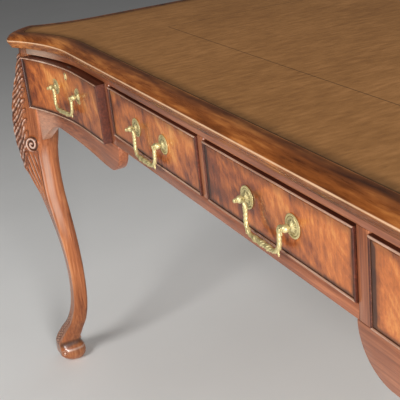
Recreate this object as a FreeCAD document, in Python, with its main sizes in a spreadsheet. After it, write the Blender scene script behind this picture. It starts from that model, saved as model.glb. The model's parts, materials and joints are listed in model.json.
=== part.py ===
import FreeCAD, Part
import Sketcher
import math
import os
import re

# A partners desk: cabriole legs at the corners, a veneered top with swept
# corners, and the same four drawers on each long side. X runs along the desk,
# the front faces -Y, Z is up and the origin is on the floor under the centre.
# One quarter of the desk, right and back, is drawn and the others mirror it.

# Driving dimensions, in millimetres
SIZES = {
    # Whole desk
    "desk_height": 770,
    "frame_length": 1425,
    "frame_depth": 860,
    # Top with its four swept corners
    "top_thickness": 24,
    "top_overhang": 21.5,
    "corner_front_reach": 54.5,
    "corner_front_sweep": 206,
    "corner_front_inset": 26.5,
    "corner_end_reach": 39,
    "corner_end_sweep": 118,
    "corner_end_lead": 8,
    "corner_nose_radius": 97,
    "top_edge_round": 9,
    "field_margin": 36,
    "field_thickness": 1.6,
    # Frame of rails, stiles, aprons and ends
    "frame_thickness": 18,
    "top_rail_height": 20,
    "lower_rail_height": 19,
    "end_opening_height": 108,
    "hollow_depth": 41,
    "hollow_length": 227,
    "centre_stile_width": 18,
    "centre_opening_width": 336,
    "stile_width": 20,
    "apron_lap": 4,
    "apron_drop": 57,
    "apron_flat": 10,
    "apron_rise": 24,
    "bracket_length": 72,
    "bracket_drop": 27,
    "end_panel_thickness": 15.5,
    "end_hollow_depth": 26,
    "end_hollow_length": 118,
    "end_panel_drop": 150,
    "end_panel_rise": 22,
    "end_panel_flat": 130,
    "end_panel_bracket": 25,
    # Legs
    "leg_reach": 80,
    # Boards and runners inside the frame
    "partition_thickness": 18,
    "runner_width": 22,
    "runner_height": 16,
    # Drawers
    "drawer_gap": 1.2,
    "head_gap": 3,
    "centre_proud": 2,
    "end_proud": 1.5,
    "end_ajar": 13,
    "drawer_front_thickness": 22,
    "bead_width": 4,
    "bead_stand": 1.2,
    "bead_depth": 8,
    "box_end_gap": 26,
    "box_side_gap": 3,
    "box_rest_gap": 0.3,
    "box_drop": 6,
    "box_side_thickness": 10,
    "box_back_thickness": 10,
    "box_bottom_thickness": 6,
    "box_bottom_lift": 5,
    # Bail pulls
    "pull_spacing": 104,
    "end_pull_raise": 8,
    "rosette_radius": 15,
    "rosette_edge": 1.5,
    "rosette_dome": 3,
    "rosette_dome_radius": 7,
    "rosette_seat": 1.4,
    "rosette_gap": 0.2,
    "post_radius": 4,
    "post_length": 10.5,
    "post_ball_radius": 5,
    "post_tip_radius": 2.8,
    "stem_radius": 2.5,
    "stem_gap": 0.2,
    "nut_radius": 5.5,
    "nut_thickness": 4,
    "nut_gap": 0.1,
    "bail_wire_radius": 2.8,
    "bail_pin_gap": 0.08,
    "bail_inset": 13,
    "bail_corner": 6,
    "bail_bend": 11,
    "bail_drop": 38,
    "bail_pin_end": 4.5,
    "bail_grip_radius": 5,
    # Locks of the end drawers
    "keyhole_below_rail": 18.5,
    "escutcheon_width": 9,
    "escutcheon_height": 15,
    "escutcheon_stand": 0.8,
    "escutcheon_gap": 0.2,
    "keyhole_radius": 1.8,
    "keyhole_slot": 1.6,
    "lock_case_width": 52,
    "lock_case_height": 40,
    "lock_case_thickness": 9.5,
    "lock_case_wall": 2,
    "lock_mortise": 17.5,
    "lock_gap": 0.3,
    "bolt_width": 20,
    "bolt_thickness": 4,
    "bolt_height": 16,
    "bolt_travel": 8,
    "bolt_clearance": 0.5,
    "strike_clearance": 2.5,
    # What a cut runs past the face that it starts from
    "overrun": 5,
}

# Places worked out from the driving dimensions
WORKED = {
    "half_length": "frame_length / 2",
    "face": "frame_depth / 2",
    "frame_back": "face - frame_thickness",
    "leg_inner": "half_length - end_panel_thickness",
    "underside": "desk_height - top_thickness",
    "rail_underside": "underside - top_rail_height",
    "kneehole_height": "rail_underside - end_opening_height",
    "centre_sill": "kneehole_height + lower_rail_height",
    "centre_inner": "centre_stile_width / 2",
    "centre_outer": "centre_inner + centre_opening_width",
    "end_inner": "centre_outer + stile_width",
    "end_middle": "(end_inner + leg_inner) / 2",
    "hollow_bend": "leg_inner - hollow_length",
    "hollow_radius": "(hollow_length^2 + hollow_depth^2) / (2 * hollow_depth)",
    "end_bend": "face - end_hollow_length",
    "end_radius": "(end_hollow_length^2 + end_hollow_depth^2) / (2 * end_hollow_depth)",
    "lock_face": "face + hollow_radius - sqrt(hollow_radius^2 - (end_middle - hollow_bend)^2)",
    "lock_front": "lock_face + end_proud - drawer_front_thickness + lock_mortise",
    "lock_back": "lock_front - lock_case_thickness",
    "lock_top": "rail_underside - head_gap",
    "bolt_middle": "lock_back + lock_case_wall + bolt_clearance + bolt_thickness / 2",
    "keyhole_height": "rail_underside - keyhole_below_rail",
    "board_base": "kneehole_height - runner_height",
    "box_end": "partition_thickness / 2 + box_end_gap",
}

# Cabriole profile from the floor up: height as a share of the leg, then how far the
# outer corner, the inner corner and the ridges stand out, as shares of the reach
LEG_PROFILE_SHARES = [
    (0.000, 0.78, 0.42, 0.78),
    (0.014, 0.91, 0.35, 0.91),
    (0.038, 1.00, 0.33, 1.00),
    (0.064, 0.99, 0.36, 0.99),
    (0.100, 0.84, 0.28, 0.84),
    (0.142, 0.62, 0.15, 0.62),
    (0.200, 0.48, 0.06, 0.48),
    (0.288, 0.42, 0.02, 0.42),
    (0.389, 0.465, 0.03, 0.46),
    (0.483, 0.585, 0.075, 0.56),
    (0.563, 0.73, 0.118, 0.636),
    (0.630, 0.89, 0.122, 0.642),
    (0.690, 0.97, 0.085, 0.65),
    (0.750, 0.99, -0.05, 0.59),
    (0.831, 0.91, -0.06, 0.555),
    (0.912, 0.73, -0.06, 0.53),
    (1.000, 0.55, -0.06, 0.50),
]
# Length of side that each corner's rounding takes, as shares of a section's width
LEG_OUTER_ROUND_SHARE = 0.34
LEG_RIDGE_ROUND_SHARE = 0.09
LEG_INNER_ROUND_SHARE = 0.22
# Height, as a share of the leg, above which it is a square post
LEG_POST_SHARE = 0.72

QUARTERS = [("front_left", -1, -1), ("front_right", 1, -1), ("back_left", -1, 1)]
# Quarter whose end drawer stands a little open
AJAR_QUARTER = "front_left"

doc = FreeCAD.newDocument("partners_desk")
sizes = doc.addObject("Spreadsheet::Sheet", "sizes")
worked = doc.addObject("Spreadsheet::Sheet", "worked")
nodes = []


def bound(text):
    """Write a formula's names as cells of the two sheets."""
    def cell(match):
        word = match.group()
        if word in SIZES:
            return "sizes." + word
        if word in WORKED:
            return "worked." + word
        return word
    return re.sub(r"[a-z][a-z_]*", cell, text)


def value(text):
    """Work out a formula over the sheets as a number."""
    return float(sizes.evalExpression(bound(text)))


def fill_sheets():
    for row, (name, size) in enumerate(SIZES.items(), start=1):
        sizes.set(f"A{row}", name)
        sizes.set(f"B{row}", str(size))
        sizes.setAlias(f"B{row}", name)
    doc.recompute()
    for row, name in enumerate(WORKED, start=1):
        worked.set(f"A{row}", name)
        worked.setAlias(f"B{row}", name)
    for row, formula in enumerate(WORKED.values(), start=1):
        worked.set(f"B{row}", "=" + bound(formula).replace("worked.", ""))
    doc.recompute()


def node(item, label):
    """Make an object a sub-part, under the name of its file."""
    item.Label = label
    nodes.append(item)
    return item


def box(name, x, y, z):
    """A block between pairs of formulas along X, Y and Z."""
    item = doc.addObject("Part::Box", name)
    for side, axis, span in zip(("Length", "Width", "Height"), "xyz", (x, y, z)):
        item.setExpression(side, bound(f"({span[1]}) - ({span[0]})"))
        item.setExpression(f"Placement.Base.{axis}", bound(span[0]))
    return item


AXIS_TURNS = {
    "x": FreeCAD.Rotation(FreeCAD.Vector(0, 1, 0), 90),
    "y": FreeCAD.Rotation(FreeCAD.Vector(1, 0, 0), -90),
    "z": FreeCAD.Rotation(),
}


def turned(name, axis, at, radii, span):
    """A cylinder, or a cone where two radii are given, along an axis."""
    item = doc.addObject("Part::Cone" if len(radii) > 1 else "Part::Cylinder", name)
    names = ("Radius1", "Radius2") if len(radii) > 1 else ("Radius",)
    for radius_name, radius in zip(names, radii):
        item.setExpression(radius_name, bound(radius))
    item.Placement = FreeCAD.Placement(FreeCAD.Vector(), AXIS_TURNS[axis])
    item.setExpression("Height", bound(f"({span[1]}) - ({span[0]})"))
    across = [letter for letter in "xyz" if letter != axis]
    for letter, place in zip(across, at):
        item.setExpression(f"Placement.Base.{letter}", bound(place))
    item.setExpression(f"Placement.Base.{axis}", bound(span[0]))
    return item


def ball(name, at, radius):
    item = doc.addObject("Part::Sphere", name)
    item.setExpression("Radius", bound(radius))
    for letter, place in zip("xyz", at):
        item.setExpression(f"Placement.Base.{letter}", bound(place))
    return item


def fuse(name, parts):
    item = doc.addObject("Part::MultiFuse", name)
    item.Shapes = parts
    item.Refine = True
    return item


def cut(name, base, tools):
    item = doc.addObject("Part::Cut", name)
    item.Base = base
    item.Tool = tools[0] if len(tools) == 1 else fuse(name + "_tools", tools)
    return item


def common(name, first, second):
    item = doc.addObject("Part::Common", name)
    item.Base = first
    item.Tool = second
    return item


def group(name, parts):
    item = doc.addObject("Part::Compound", name)
    item.Links = parts
    return item


def mirror(name, source, across_x, across_y):
    """A copy reflected in the desk's middle plane across X, across Y or both."""
    for letter, wanted in (("x", across_x), ("y", across_y)):
        if wanted:
            item = doc.addObject("Part::Mirroring", name + "_" + letter)
            item.Source = source
            item.Normal = FreeCAD.Vector(int(letter == "x"), int(letter == "y"), 0)
            source = item
    return source


def quarter_nodes(master, kind, in_end_drawer=False):
    """The drawn quarter's piece, and its copies in the other three."""
    for quarter, x, y in QUARTERS:
        piece = mirror(f"{quarter}_{kind}", master, x < 0, y < 0)
        if in_end_drawer and quarter == AJAR_QUARTER:
            piece = group(f"{quarter}_{kind}_ajar", [piece])
            piece.setExpression("Placement.Base.y", bound("-end_ajar"))
        node(piece, f"{quarter}_{kind}")
    node(master, f"back_right_{kind}")


def long_side_nodes(master, kind):
    node(mirror(f"front_{kind}", master, False, True), f"front_{kind}")
    node(master, f"back_{kind}")


def arc_between(start, stop, radius, turn):
    """An arc whose centre is left of the way from start to stop, or right for turn -1."""
    chord = stop - start
    side = FreeCAD.Vector(-chord.y, chord.x, 0).normalize() * turn
    half = chord.Length / 2
    centre = (start + stop) / 2 + side * math.sqrt(max(radius * radius - half * half, 0))
    first, last = (start, stop) if turn > 0 else (stop, start)
    angles = [math.atan2(point.y - centre.y, point.x - centre.x) for point in (first, last)]
    circle = Part.Circle(centre, FreeCAD.Vector(0, 0, 1), radius)
    return Part.ArcOfCircle(circle, angles[0], angles[1])


def profile(name, plane, outline, span):
    """A padded sketch. The outline lists corners as two formulas, and after a corner
    whose side to the next one is an arc, the arc's radius and its turn."""
    body = doc.addObject("PartDesign::Body", name)
    sketch = body.newObject("Sketcher::SketchObject", name + "_sketch")
    support = [item for item in body.Origin.OriginFeatures if item.Role == plane + "_Plane"][0]
    sketch.AttachmentSupport = [(support, "")]
    sketch.MapMode = "FlatFace"
    corners = [FreeCAD.Vector(value(corner[0]), value(corner[1]), 0) for corner in outline]
    ends = []
    for index, corner in enumerate(outline):
        start, stop = corners[index], corners[(index + 1) % len(corners)]
        if len(corner) > 2:
            sketch.addGeometry(arc_between(start, stop, value(corner[2]), corner[3]), False)
            ends.append((1, 2) if corner[3] > 0 else (2, 1))
        else:
            sketch.addGeometry(Part.LineSegment(start, stop), False)
            ends.append((1, 2))
    for index, corner in enumerate(outline):
        following = (index + 1) % len(outline)
        joint = Sketcher.Constraint("Coincident", index, ends[index][1], following, ends[following][0])
        sketch.addConstraint(joint)
        hold_corner(sketch, index, ends[index][0], corner, corners[index])
    pad = body.newObject("PartDesign::Pad", name + "_pad")
    pad.Profile = sketch
    pad.setExpression("Length", bound(f"({span[1]}) - ({span[0]})"))
    depth = f"-({span[1]})" if plane == "XZ" else span[0]
    sketch.setExpression("AttachmentOffset.Base.z", bound(depth))
    sketch.Visibility = False
    doc.recompute()
    return body


def hold_corner(sketch, index, end, corner, place):
    """Tie a corner of a sketch, and the arc that starts there, to the sheets."""
    holds = (("DistanceX", -2, corner[0], place.x), ("DistanceY", -1, corner[1], place.y))
    for kind, axis, formula, number in holds:
        if number == 0:
            sketch.addConstraint(Sketcher.Constraint("PointOnObject", index, end, axis))
            continue
        label = f"corner_{index}_{kind}"
        held = sketch.addConstraint(Sketcher.Constraint(kind, -1, 1, index, end, number))
        sketch.renameConstraint(held, label)
        sketch.setExpression(f"Constraints.{label}", bound(formula))
    if len(corner) > 2:
        held = sketch.addConstraint(Sketcher.Constraint("Radius", index, value(corner[2])))
        sketch.renameConstraint(held, f"radius_{index}")
        sketch.setExpression(f"Constraints.radius_{index}", bound(corner[2]))


def hollow_y(x, offset):
    """Place of the hollow long side, offset outwards, at a distance x from the middle."""
    return f"face + hollow_radius - sqrt((hollow_radius - ({offset}))^2 - (({x}) - hollow_bend)^2)"


def hollow_band(start, stop, front, back):
    """Plan of a board that follows the hollow long side between two offsets."""
    return [
        (start, f"face + ({back})"),
        ("hollow_bend", f"face + ({back})", f"hollow_radius - ({back})", 1),
        (stop, hollow_y(stop, back)),
        (stop, hollow_y(stop, front), f"hollow_radius - ({front})", -1),
        ("hollow_bend", f"face + ({front})"),
        (start, f"face + ({front})"),
    ]


def make_top():
    edge_x = "half_length + top_overhang"
    edge_y = "face + top_overhang"
    front_radius = "(corner_front_sweep^2 + corner_front_reach^2) / (2 * corner_front_reach)"
    end_radius = "(corner_end_sweep^2 + corner_end_reach^2) / (2 * corner_end_reach)"
    outline = [
        ("0", "0"),
        (edge_x, "0"),
        (edge_x, "face + corner_end_lead - corner_end_sweep", end_radius, -1),
        (f"{edge_x} + corner_end_reach", "face + corner_end_lead", "corner_nose_radius", 1),
        ("half_length - corner_front_inset", f"{edge_y} + corner_front_reach", front_radius, -1),
        ("half_length - corner_front_inset - corner_front_sweep", edge_y),
        ("0", edge_y),
    ]
    quarter = profile("top_quarter", "XY", outline, ("underside", "desk_height"))
    half = fuse("top_half", [quarter, mirror("top_other_quarter", quarter, True, False)])
    slab = fuse("top_slab", [half, mirror("top_other_half", half, False, True)])
    doc.recompute()
    rounded = doc.addObject("Part::Fillet", "top_rounded")
    rounded.Base = slab
    upper = value("desk_height")
    radius = value("top_edge_round")
    rounded.Edges = [
        (index, radius, radius)
        for index, edge in enumerate(slab.Shape.Edges, start=1)
        if all(abs(vertex.Z - upper) < radius for vertex in edge.Vertexes)
    ]
    field = doc.addObject("Part::Feature", "field")
    field.Shape = field_shape(slab.Shape)
    node(cut("top_board", rounded, [field]), "top_board")
    node(field, "veneer_field")


def field_shape(slab):
    """Veneered field of the top, whose outline runs parallel to the edge."""
    upper = [face for face in slab.Faces if face.CenterOfMass.z > value("underside + top_thickness / 2")]
    plain = max(upper, key=lambda face: face.Area)
    inset = plain.makeOffset2D(-value("field_margin"), join=2)
    return inset.extrude(FreeCAD.Vector(0, 0, -value("field_thickness")))


def leg_section(height, outer, inner, ridge):
    """Kite across the leg with rounded corners, drawn from its inner corner. Where
    the ridges draw back, the outer corner is sharper."""
    width = outer - inner
    sharpened = LEG_OUTER_ROUND_SHARE * ((ridge - inner) / width) ** 3
    rounds = [
        width * share
        for share in (LEG_INNER_ROUND_SHARE, LEG_RIDGE_ROUND_SHARE, sharpened, LEG_RIDGE_ROUND_SHARE)
    ]
    corners = [
        FreeCAD.Vector(x, y, height)
        for x, y in ((inner, inner), (ridge, inner), (outer, outer), (inner, ridge))
    ]
    edges = []
    for index, corner in enumerate(corners):
        following = corners[(index + 1) % len(corners)]
        way_in = (corner - corners[index - 1]).normalize()
        way_out = (following - corner).normalize()
        half_turn = way_in.getAngle(way_out) / 2
        radius = rounds[index] / math.tan(half_turn)
        inwards = (way_out - way_in).normalize()
        middle = corner + inwards * (radius / math.cos(half_turn) - radius)
        stop = corner + way_out * rounds[index]
        edges.append(Part.Arc(corner - way_in * rounds[index], middle, stop).toShape())
        edges.append(Part.makeLine(stop, following - way_out * rounds[(index + 1) % len(rounds)]))
    return Part.Wire(edges)


def make_legs():
    tall = value("underside")
    reach = value("leg_reach")
    overrun = value("overrun")
    sections = [
        leg_section(height * tall, outer * reach, inner * reach, ridge * reach)
        for height, outer, inner, ridge in LEG_PROFILE_SHARES
    ]
    cabriole = Part.makeLoft(sections, True, False)
    post = tall * LEG_POST_SHARE
    size = reach + overrun
    beside = Part.makeBox(size, 2 * size, tall, FreeCAD.Vector(-size, -size, post))
    behind = Part.makeBox(2 * size, size, tall, FreeCAD.Vector(-size, -size, post))
    leg = doc.addObject("Part::Feature", "leg")
    leg.Shape = cabriole.cut(beside.fuse(behind))
    leg.setExpression("Placement.Base.x", bound("leg_inner"))
    leg.setExpression("Placement.Base.y", bound("face"))
    doc.recompute()
    quarter_nodes(leg, "leg")


def make_frame():
    half_rail = profile("half_top_rail", "XY", hollow_band("0", "leg_inner", "0", "-frame_thickness"),
                        ("rail_underside", "underside"))
    whole_rail = fuse("whole_top_rail", [half_rail, mirror("other_top_rail", half_rail, True, False)])
    slot = "bolt_width / 2 + strike_clearance"
    mortise = box("bolt_mortise", (f"end_middle - ({slot})", f"end_middle + {slot}"),
                  ("bolt_middle - bolt_thickness / 2 - strike_clearance",
                   "bolt_middle + bolt_thickness / 2 + strike_clearance"),
                  ("rail_underside - overrun", "rail_underside + bolt_travel + bolt_clearance"))
    other_mortise = mirror("other_bolt_mortise", mortise, True, False)
    long_side_nodes(cut("top_rail", whole_rail, [mortise, other_mortise]), "top_rail")
    lower = box("lower_rail", ("-centre_outer", "centre_outer"), ("frame_back", "face"),
                ("kneehole_height", "centre_sill"))
    long_side_nodes(lower, "lower_rail")
    depth = ("frame_back", "face")
    middle = box("middle_stile", ("-centre_inner", "centre_inner"), depth, ("centre_sill", "rail_underside"))
    side = box("side_stile", ("centre_outer", "end_inner"), depth, ("kneehole_height", "rail_underside"))
    stiles = group("stiles", [middle, side, mirror("other_side_stile", side, True, False)])
    long_side_nodes(stiles, "stiles")


def make_aprons():
    inner = "centre_outer - apron_lap"
    low = "kneehole_height - apron_drop"
    bracket = "leg_inner - bracket_length"
    sweep = f"({bracket} - ({inner}) - apron_drop - apron_flat)"
    outline = [
        (inner, "kneehole_height", "apron_drop", 1),
        (f"{inner} + apron_drop", low),
        (f"{inner} + apron_drop + apron_flat", low, f"({sweep}^2 + apron_rise^2) / (2 * apron_rise)", 1),
        (bracket, f"{low} + apron_rise", "(bracket_length^2 + bracket_drop^2) / (2 * bracket_drop)", -1),
        ("leg_inner", f"{low} + apron_rise - bracket_drop"),
        ("leg_inner", "kneehole_height"),
    ]
    front = profile("apron_front", "XZ", outline,
                    ("frame_back - overrun", "face + hollow_depth + frame_thickness"))
    plan = profile("apron_plan", "XY", hollow_band(inner, "leg_inner", "0", "-frame_thickness"),
                   (f"{low} - apron_drop", "kneehole_height"))
    quarter_nodes(common("apron", plan, front), "apron")


def make_ends():
    outer = "half_length"
    swept = "half_length + end_hollow_depth"
    inner_radius = "end_radius + end_panel_thickness"
    inner_end = "half_length + end_radius - sqrt((end_radius + end_panel_thickness)^2 - end_hollow_length^2)"
    plan = [
        ("leg_inner", "0"),
        (outer, "0"),
        (outer, "end_bend", "end_radius", -1),
        (swept, "face"),
        (inner_end, "face", inner_radius, 1),
        ("leg_inner", "end_bend"),
    ]
    band = profile("end_plan", "XY", plan, ("underside - end_panel_drop - end_panel_rise", "underside"))
    whole_band = fuse("whole_end_plan", [band, mirror("other_end_plan", band, False, True)])
    low = "underside - end_panel_drop"
    bracket = "face - end_panel_bracket"
    rise = f"({bracket} - end_panel_flat)"
    side = [
        ("0", low),
        ("end_panel_flat", low, f"({rise}^2 + end_panel_rise^2) / (2 * end_panel_rise)", 1),
        (bracket, f"{low} + end_panel_rise", "end_panel_bracket", -1),
        ("face", f"{low} + end_panel_rise - end_panel_bracket"),
        ("face", "underside"),
        ("0", "underside"),
    ]
    half_side = profile("end_side", "YZ", side, ("leg_inner - overrun", f"{swept} + overrun"))
    whole_side = fuse("whole_end_side", [half_side, mirror("other_end_side", half_side, False, True)])
    panel = common("end_panel", whole_band, whole_side)
    node(mirror("left_end_panel", panel, True, False), "left_end_panel")
    node(panel, "right_end_panel")


def make_inside():
    along = ("-frame_back", "frame_back")
    across = ("-partition_thickness / 2", "partition_thickness / 2")
    tall = ("board_base", "underside")
    bay = box("bay_board", ("centre_outer", "end_inner"), along, tall)
    middle = box("middle_board", ("-centre_outer", "centre_outer"), across, ("kneehole_height", "underside"))
    end = box("end_board", ("end_inner", "leg_inner"), across, tall)
    boards = [middle]
    for board in (bay, end):
        boards += [board, mirror(f"other_{board.Name}", board, True, False)]
    node(group("boards", boards), "inner_boards")
    length = ("partition_thickness / 2", "frame_back")
    centre_level = ("centre_sill - runner_height", "centre_sill")
    end_level = ("board_base", "kneehole_height")
    middle_runner = box("middle_runner", ("-runner_width", "runner_width"), length, centre_level)
    side_runners = [
        box("centre_runner", ("centre_outer - runner_width", "centre_outer"), length, centre_level),
        box("inner_runner", ("end_inner", "end_inner + runner_width"), length, end_level),
        box("outer_runner", ("leg_inner - runner_width", "leg_inner"), length, end_level),
    ]
    runners = [middle_runner, mirror("front_middle_runner", middle_runner, False, True)]
    for runner in side_runners:
        runners.append(runner)
        runners += [
            mirror(f"{quarter}_{runner.Name}", runner, x < 0, y < 0) for quarter, x, y in QUARTERS
        ]
    node(group("runners", runners), "drawer_runners")


def bead_ring(name, x, y, z):
    """Frame of bead round a drawer front, cut square."""
    inner_x = (f"{x[0]} + bead_width", f"{x[1]} - bead_width")
    inner_z = (f"{z[0]} + bead_width", f"{z[1]} - bead_width")
    outside = box(name + "_outside", x, y, z)
    inside = box(name + "_inside", inner_x, (f"{y[0]} - overrun", f"{y[1]} + overrun"), inner_z)
    return cut(name, outside, [inside])


def make_pull(kind, middle, seat, height, tilt):
    """One bail pull: plates with their posts, stems and nuts, then the bail.
    It is drawn about the point between its posts, on the plane that the rosettes sit on."""
    halves = []
    nut_span = ("-drawer_front_thickness - nut_thickness", "-drawer_front_thickness")
    for name, side in (("left", "-"), ("right", "")):
        label = f"{kind}_{name}_plate"
        x = f"{side}pull_spacing / 2"
        at = (x, "0")
        turned_parts = [
            turned(label + "_edge", "y", at, ("rosette_radius",), ("0", "rosette_edge")),
            turned(label + "_dome", "y", at, ("rosette_radius", "rosette_dome_radius"),
                   ("rosette_edge", "rosette_edge + rosette_dome")),
            turned(label + "_post", "y", at, ("post_radius",), ("0", "post_length + post_ball_radius")),
            turned(label + "_stem", "y", at, ("stem_radius",), (nut_span[0], "0")),
            ball(label + "_ball", (x, "post_length", "0"), "post_ball_radius"),
            ball(label + "_tip", (x, "post_length + post_ball_radius + post_tip_radius / 2", "0"),
                 "post_tip_radius"),
        ]
        bore = turned(label + "_bore", "x", ("post_length", "0"), ("bail_wire_radius + bail_pin_gap",),
                      (f"{x} - post_ball_radius - overrun", f"{x} + post_ball_radius + overrun"))
        halves.append(cut(label, fuse(label + "_turning", turned_parts), [bore]))
        nut_hole = turned(label + "_nut_hole", "y", at, ("stem_radius + nut_gap",),
                          (f"{nut_span[0]} - overrun", f"{nut_span[1]} + overrun"))
        nut_blank = turned(label + "_nut_blank", "y", at, ("nut_radius",), nut_span)
        halves.append(cut(label + "_nut", nut_blank, [nut_hole]))
    plates = group(f"{kind}_plates", halves)
    bail = make_bail(kind)
    for item in (plates, bail):
        item.Placement = FreeCAD.Placement(FreeCAD.Vector(), FreeCAD.Rotation(FreeCAD.Vector(0, 0, 1), tilt))
        for letter, place in zip("xyz", (middle, seat, height)):
            item.setExpression(f"Placement.Base.{letter}", bound(place))
    return plates, bail


def quarter_ring(name, at, bend_radius, first, second):
    """A quarter of a ring of the bail's wire, in the upright plane, from one way to another."""
    item = doc.addObject("Part::Torus", name)
    item.setExpression("Radius1", bound(bend_radius))
    item.setExpression("Radius2", bound("bail_wire_radius"))
    item.Angle3 = 90
    turn = FreeCAD.Rotation(first, second, first.cross(second), "XYZ")
    item.Placement = FreeCAD.Placement(FreeCAD.Vector(), turn)
    for letter, place in zip("xyz", at):
        item.setExpression(f"Placement.Base.{letter}", bound(place))
    return item


def make_bail(kind):
    """Bent wire from pin to pin, with a grip that swells to its middle."""
    strand = "(pull_spacing / 2 - bail_inset)"
    wire = ("bail_wire_radius",)
    right = FreeCAD.Vector(1, 0, 0)
    up = FreeCAD.Vector(0, 0, 1)
    half = fuse(f"{kind}_half_bail", [
        turned(f"{kind}_bail_pin", "x", ("post_length", "0"), wire,
               (f"{strand} + bail_corner", "pull_spacing / 2 + bail_pin_end")),
        quarter_ring(f"{kind}_bail_corner", (f"{strand} + bail_corner", "post_length", "-bail_corner"),
                     "bail_corner", up, -right),
        turned(f"{kind}_bail_strand", "z", (strand, "post_length"), wire,
               ("bail_bend - bail_drop", "-bail_corner")),
        quarter_ring(f"{kind}_bail_bend", (f"{strand} - bail_bend", "post_length", "bail_bend - bail_drop"),
                     "bail_bend", right, -up),
        turned(f"{kind}_bail_grip", "x", ("post_length", "-bail_drop"),
               ("bail_grip_radius", "bail_wire_radius"), ("0", f"{strand} - bail_bend")),
    ])
    return fuse(f"{kind}_bail", [half, mirror(f"{kind}_other_bail", half, True, False)])


def stem_holes(kind, middle, seat, height, tilt):
    """Holes for the pull's stems and flat seats for its rosettes, as one cutting tool."""
    tools = []
    for name, side in (("left", "-"), ("right", "")):
        at = (f"{side}pull_spacing / 2", "0")
        tools.append(turned(f"{kind}_{name}_stem_hole", "y", at, ("stem_radius + stem_gap",),
                            ("-drawer_front_thickness - overrun", "overrun")))
        tools.append(turned(f"{kind}_{name}_seat", "y", at, ("rosette_radius + rosette_gap",),
                            ("0", "overrun")))
        tools.append(turned(f"{kind}_{name}_nut_seat", "y", at, ("nut_radius + rosette_gap",),
                            ("-drawer_front_thickness - overrun", "-drawer_front_thickness")))
    tool = fuse(f"{kind}_stem_tools", tools)
    tool.Placement = FreeCAD.Placement(FreeCAD.Vector(), FreeCAD.Rotation(FreeCAD.Vector(0, 0, 1), tilt))
    for letter, place in zip("xyz", (middle, seat, height)):
        tool.setExpression(f"Placement.Base.{letter}", bound(place))
    return tool


def make_centre_drawer():
    x = ("centre_inner + drawer_gap", "centre_outer - drawer_gap")
    z = ("centre_sill + drawer_gap", "rail_underside - head_gap")
    front = "face + centre_proud"
    back = f"{front} - drawer_front_thickness"
    pull = ("(centre_inner + centre_outer) / 2", front, "(centre_sill + rail_underside) / 2", 0)
    bead = bead_ring("centre_bead", x, (f"{front} - bead_depth", f"{front} + bead_stand"), z)
    blank = box("centre_blank", x, (back, front), z)
    board = cut("centre_board", blank, [bead, stem_holes("centre", *pull)])
    quarter_nodes(group("centre_face", [board, bead]), "centre_drawer_face")
    side_z = ("centre_sill + box_rest_gap", "rail_underside - box_drop")
    low_x = "centre_inner + box_side_gap"
    high_x = "centre_outer - box_side_gap"
    inside = (f"{low_x} + box_side_thickness", f"{high_x} - box_side_thickness")
    end = "box_end"
    bottom = "centre_sill + box_bottom_lift"
    quarter_nodes(group("centre_box", [
        box("centre_inner_side", (low_x, inside[0]), (end, back), side_z),
        box("centre_outer_side", (inside[1], high_x), (end, back), side_z),
        box("centre_back", inside, (end, f"{end} + box_back_thickness"), side_z),
        box("centre_bottom", inside, (f"{end} + box_back_thickness", back),
            (bottom, f"{bottom} + box_bottom_thickness")),
    ]), "centre_drawer_box")
    plates, bail = make_pull("centre", *pull)
    quarter_nodes(plates, "centre_pull_plates")
    quarter_nodes(bail, "centre_pull_bail")


def end_pull_place():
    """Middle, seat and height of an end drawer's pull, and how far it turns with the hollow."""
    near = "end_middle - pull_spacing / 2"
    far = "end_middle + pull_spacing / 2"
    near_y = value(hollow_y(near, "end_proud"))
    far_y = value(hollow_y(far, "end_proud"))
    tilt = math.degrees(math.asin((far_y - near_y) / value("pull_spacing")))
    seat = f"({hollow_y(near, 'end_proud')} + {hollow_y(far, 'end_proud')}) / 2 - rosette_seat"
    return "end_middle", seat, "(kneehole_height + rail_underside) / 2 + end_pull_raise", tilt


def oval(name, width, height, y):
    """Upright slot shape about the keyhole, from two rounds and a block."""
    lift = f"(({height}) - ({width})) / 2"
    radius = f"({width}) / 2"
    ends = [
        turned(f"{name}_{label}", "y", ("end_middle", f"keyhole_height {way} {lift}"), (radius,), y)
        for label, way in (("upper", "+"), ("lower", "-"))
    ]
    middle = box(f"{name}_middle", (f"end_middle - {radius}", f"end_middle + {radius}"), y,
                 (f"keyhole_height - {lift}", f"keyhole_height + {lift}"))
    return fuse(name, ends + [middle])


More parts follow.
